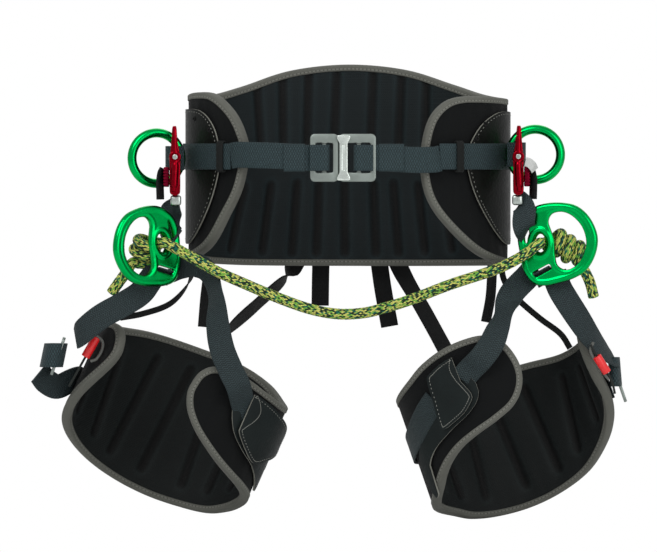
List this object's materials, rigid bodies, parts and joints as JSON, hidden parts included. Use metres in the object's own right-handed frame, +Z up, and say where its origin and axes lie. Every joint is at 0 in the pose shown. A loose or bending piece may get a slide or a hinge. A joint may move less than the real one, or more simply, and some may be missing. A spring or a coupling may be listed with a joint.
{
  "type": "climbing harness",
  "caption": "Tree-climbing sit harness: padded waist belt with front buckle, side rings, rope bridge between two ring plates, and two padded leg loops.",
  "frame": {"origin": "middle of the waist, at the height of the waist webbing, where the wearer's body holds the belt", "axes": "+Z up, the wearer faces -Y, +X to the wearer's left"},
  "size_m": [0.6857, 0.2455, 0.5229],
  "materials": {
    "lining": "black mesh lining with a soft gloss",
    "foam": "closed-cell foam",
    "cover": "matt black woven cover",
    "binding": "grey woven binding tape with one row of stitching",
    "shell": "olive black shell, low gloss",
    "webbing": "slate ribbed webbing",
    "elastic": "black elastic",
    "riser": "plain black webbing",
    "leather": "charcoal leather with pale raw edges",
    "green_alloy": "bright green anodised",
    "red_alloy": "red anodised",
    "dark_red_alloy": "dark red anodised",
    "pin_steel": "zinc plated",
    "satin_alloy": "satin grey",
    "bright_steel": "polished",
    "rope": "braided, lime with teal and dark green specks",
    "cord": "thin dark braid",
    "sleeve": "bright red"
  },
  "bodies": {
    "belt": {"back_pad_lining": "lining", "back_pad_foam": "foam", "back_pad_outer": "cover", "back_pad_binding": "binding", "waist_band": "webbing", "side_shell_right": "shell", "side_shell_left": "shell", "side_ring_webbing_right": "webbing", "side_ring_webbing_left": "webbing", "cam_buckle_frame_right": "red_alloy", "cam_buckle_frame_left": "red_alloy", "cam_pin_right": "pin_steel", "cam_pin_left": "pin_steel", "ring_webbing_right": "webbing", "ring_webbing_left": "webbing", "leg_strap_inner_right": "webbing", "leg_strap_inner_left": "webbing", "leg_strap_outer_right": "webbing", "leg_strap_outer_left": "webbing", "rear_riser_right": "riser", "rear_riser_left": "riser", "rear_strap_tail_right": "riser", "rear_strap_tail_left": "riser", "side_elastic_right": "riser", "side_elastic_left": "riser"},
    "waist_half_right": {"waist_strap_right": "webbing"},
    "waist_half_left": {"waist_strap_left": "webbing"},
    "buckle_half_right": {"buckle_frame_right": "satin_alloy"},
    "buckle_half_left": {"buckle_frame_left": "satin_alloy", "buckle_latch_bar": "bright_steel"},
    "rope": {"bridge_rope": "rope"},
    "keeper_right": {"waist_keeper_right": "elastic"},
    "side_ring_right": {"side_ring_right": "green_alloy"},
    "cam_lever_right": {"cam_lever_right": "dark_red_alloy"},
    "bridge_ring_right": {"bridge_ring_right": "green_alloy", "stopper_knot_right": "rope"},
    "leg_right": {"leg_pad_lining_right": "lining", "leg_pad_outer_right": "cover", "leg_pad_binding_right": "binding", "leather_tab_right": "leather", "leg_belt_right": "webbing", "release_cord_right": "cord", "red_sleeve_right": "sleeve"},
    "leg_buckle_right": {"leg_buckle_frame_right": "satin_alloy", "leg_buckle_bar_right": "bright_steel"},
    "keeper_left": {"waist_keeper_left": "elastic"},
    "side_ring_left": {"side_ring_left": "green_alloy"},
    "cam_lever_left": {"cam_lever_left": "dark_red_alloy"},
    "bridge_ring_left": {"bridge_ring_left": "green_alloy", "stopper_knot_left": "rope"},
    "leg_left": {"leg_pad_lining_left": "lining", "leg_pad_outer_left": "cover", "leg_pad_binding_left": "binding", "leather_tab_left": "leather", "leg_belt_left": "webbing", "release_cord_left": "cord", "red_sleeve_left": "sleeve"},
    "leg_buckle_left": {"leg_buckle_frame_left": "satin_alloy", "leg_buckle_bar_left": "bright_steel"}
  },
  "joints": [
    {"name": "waist_open_right", "type": "hinge", "parent": "belt", "child": "waist_half_right", "pos_m": [-0.1262, -0.0912, 0.0025], "axis": [0, 0, -1], "range_deg": [0, 75]},
    {"name": "waist_open_left", "type": "hinge", "parent": "belt", "child": "waist_half_left", "pos_m": [0.099, -0.1035, -0.004], "axis": [0, 0, 1], "range_deg": [0, 75]},
    {"name": "buckle_tilt_right", "type": "hinge", "parent": "waist_half_right", "child": "buckle_half_right", "pos_m": [-0.0273, -0.115, -0.001], "axis": [0, 0, 1], "range_deg": [-25, 25]},
    {"name": "buckle_tilt_left", "type": "hinge", "parent": "waist_half_left", "child": "buckle_half_left", "pos_m": [0.01255, -0.115, -0.001], "axis": [0, 0, 1], "range_deg": [-25, 25]},
    {"name": "keeper_slide_right", "type": "slide", "parent": "belt", "child": "keeper_right", "axis": [-0.8022, 0.5971, 0], "range_m": [-0.004, 0]},
    {"name": "side_ring_swing_right", "type": "hinge", "parent": "belt", "child": "side_ring_right", "pos_m": [-0.192, -0.036, -0.0014], "axis": [0, 0, -1], "range_deg": [-8, 60]},
    {"name": "cam_lever_open_right", "type": "hinge", "parent": "belt", "child": "cam_lever_right", "pos_m": [-0.199, -0.07, 0], "axis": [0, -1, 0], "range_deg": [0, 20], "stiffness_Nm_per_rad": 0.08},
    {"name": "bridge_ring_turn_right", "type": "hinge", "parent": "belt", "child": "bridge_ring_right", "pos_m": [-0.21537, -0.08074, -0.09895], "axis": [0, 0, 1], "range_deg": [-12, 8], "deforming": ["ring_webbing_right", "leg_strap_inner_right", "leg_strap_outer_right"]},
    {"name": "keeper_slide_left", "type": "slide", "parent": "belt", "child": "keeper_left", "axis": [0.8718, 0.4899, 0], "range_m": [-0.003, 0.006]},
    {"name": "side_ring_swing_left", "type": "hinge", "parent": "belt", "child": "side_ring_left", "pos_m": [0.1865, -0.038, 0.0028], "axis": [0, 0, 1], "range_deg": [-8, 60]},
    {"name": "cam_lever_open_left", "type": "hinge", "parent": "belt", "child": "cam_lever_left", "pos_m": [0.196, -0.072, 0.0005], "axis": [0, 1, 0], "range_deg": [0, 20], "stiffness_Nm_per_rad": 0.08},
    {"name": "bridge_ring_turn_left", "type": "hinge", "parent": "belt", "child": "bridge_ring_left", "pos_m": [0.22155, -0.0798, -0.099], "axis": [0, 0, 1], "range_deg": [-12, 8], "deforming": ["ring_webbing_left", "leg_strap_inner_left", "leg_strap_outer_left"]},
    {"name": "rope_swing", "type": "hinge", "parent": "belt", "child": "rope", "pos_m": [0, -0.093, -0.1], "axis": [-1, 0, 0], "range_deg": [0, 100]},
    {"name": "leg_swing_right", "type": "hinge", "parent": "belt", "child": "leg_right", "pos_m": [-0.204, 0.0214, -0.1], "axis": [-1, 0, 0], "range_deg": [-8, 20], "deforming": ["leg_strap_inner_right", "leg_strap_outer_right", "rear_riser_right", "side_elastic_right"]},
    {"name": "leg_buckle_tilt_right", "type": "hinge", "parent": "leg_right", "child": "leg_buckle_right", "pos_m": [-0.3335, -0.044, -0.229], "axis": [0, 1, 0], "range_deg": [-10, 1]},
    {"name": "leg_swing_left", "type": "hinge", "parent": "belt", "child": "leg_left", "pos_m": [0.191, 0.0156, -0.1], "axis": [-1, 0, 0], "range_deg": [-8, 20], "deforming": ["leg_strap_inner_left", "leg_strap_outer_left", "rear_riser_left", "side_elastic_left"]},
    {"name": "leg_buckle_tilt_left", "type": "hinge", "parent": "leg_left", "child": "leg_buckle_left", "pos_m": [0.312, 0.005, -0.26], "axis": [0, 1, 0], "range_deg": [-6, 12]}
  ]
}
